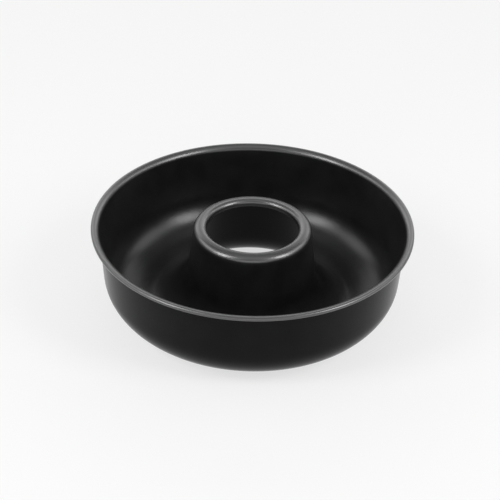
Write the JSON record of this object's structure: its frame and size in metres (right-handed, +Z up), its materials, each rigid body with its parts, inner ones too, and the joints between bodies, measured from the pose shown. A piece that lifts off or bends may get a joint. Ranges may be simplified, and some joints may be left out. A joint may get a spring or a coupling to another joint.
{
  "type": "savarin mould",
  "caption": "Round ring cake mould of dark coated sheet steel, with a rolled wire rim, a rounded trough and an open centre tube with a flat lip, for baking ring cakes.",
  "frame": {"origin": "centre of the base, on the surface that the mould stands on", "axes": "+Z up along the axis of the ring; X and Y across it"},
  "size_m": [0.26, 0.26, 0.075],
  "materials": {
    "coated_steel": "satin near-black non-stick coating on sheet steel",
    "wire_steel": "plain drawn wire"
  },
  "bodies": {
    "root": {"ring_pan": "coated_steel", "centre_tube": "coated_steel", "rim_wire": "wire_steel"}
  },
  "joints": []
}
